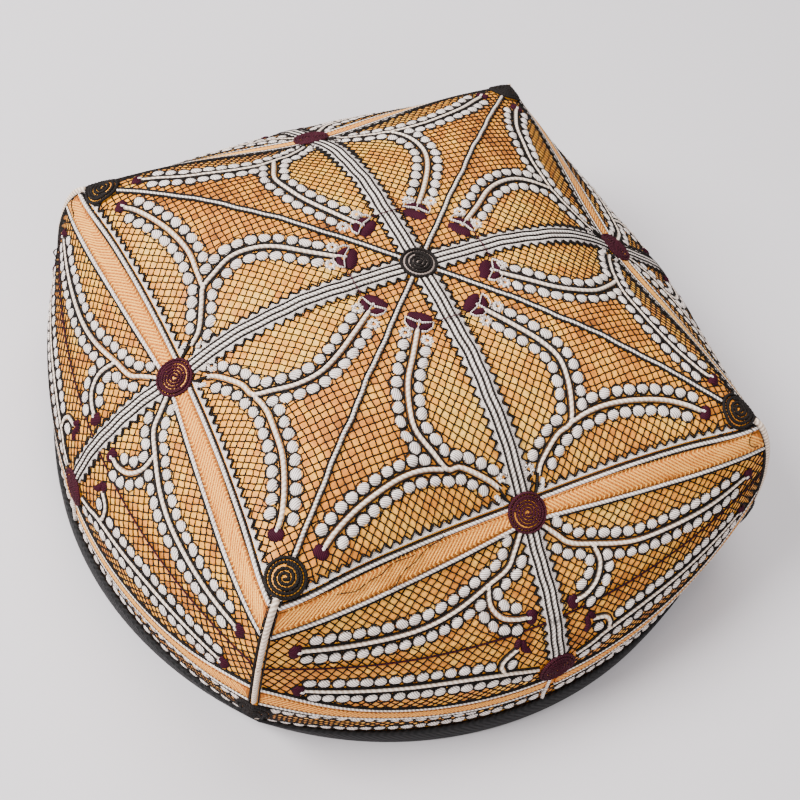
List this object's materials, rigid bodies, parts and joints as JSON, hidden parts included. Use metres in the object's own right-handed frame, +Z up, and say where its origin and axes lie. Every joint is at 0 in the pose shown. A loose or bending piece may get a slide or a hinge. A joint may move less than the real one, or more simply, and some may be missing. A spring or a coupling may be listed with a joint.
{
  "type": "tubeteika skullcap",
  "caption": "Square-topped cloth skullcap with a round rim, a sewn-on band, a black binding, couched cords, rosettes and herringbone tapes.",
  "frame": {"origin": "middle of the rim, on the surface that the cap rests on", "axes": "+Z up out of the top; the middles of the four sides look along +-X and +-Y"},
  "size_m": [0.184, 0.184, 0.0742],
  "materials": {
    "amber_satin": "quilted satin",
    "black_braid": "woven braid",
    "black_thread": "couched thread",
    "plum_thread": "couched thread",
    "white_cotton": "twisted cotton",
    "peach_thread": "herringbone satin stitch"
  },
  "bodies": {
    "root": {"crown": "amber_satin", "band": "amber_satin", "rim_binding": "black_braid", "centre_rosette": "black_thread", "corner_rosette_1": "black_thread", "corner_rosette_2": "black_thread", "corner_rosette_3": "black_thread", "corner_rosette_4": "black_thread", "edge_rosette_1": "plum_thread", "edge_rosette_2": "plum_thread", "edge_rosette_3": "plum_thread", "edge_rosette_4": "plum_thread", "band_rosette_1": "plum_thread", "band_rosette_2": "plum_thread", "band_rosette_3": "plum_thread", "band_rosette_4": "plum_thread", "band_corner_rosette_1": "black_thread", "band_corner_rosette_2": "black_thread", "band_corner_rosette_3": "black_thread", "band_corner_rosette_4": "black_thread", "top_rib_1": "white_cotton", "top_rib_2": "white_cotton", "top_rib_3": "white_cotton", "top_rib_4": "white_cotton", "diagonal_cord_1": "white_cotton", "diagonal_cord_2": "white_cotton", "diagonal_cord_3": "white_cotton", "diagonal_cord_4": "white_cotton", "side_rib_1": "white_cotton", "side_rib_2": "white_cotton", "side_rib_3": "white_cotton", "side_rib_4": "white_cotton", "band_rib_1": "white_cotton", "band_rib_2": "white_cotton", "band_rib_3": "white_cotton", "band_rib_4": "white_cotton", "edge_tape_1": "peach_thread", "edge_tape_2": "peach_thread", "edge_tape_3": "peach_thread", "edge_tape_4": "peach_thread", "edge_tape_5": "peach_thread", "edge_tape_6": "peach_thread", "edge_tape_7": "peach_thread", "edge_tape_8": "peach_thread", "band_tape_1": "peach_thread", "band_tape_2": "peach_thread", "band_tape_3": "peach_thread", "band_tape_4": "peach_thread", "corner_cord_1": "white_cotton", "corner_cord_2": "white_cotton", "corner_cord_3": "white_cotton", "corner_cord_4": "white_cotton", "band_corner_cord_1": "white_cotton", "band_corner_cord_2": "white_cotton", "band_corner_cord_3": "white_cotton", "band_corner_cord_4": "white_cotton"}
  },
  "joints": []
}
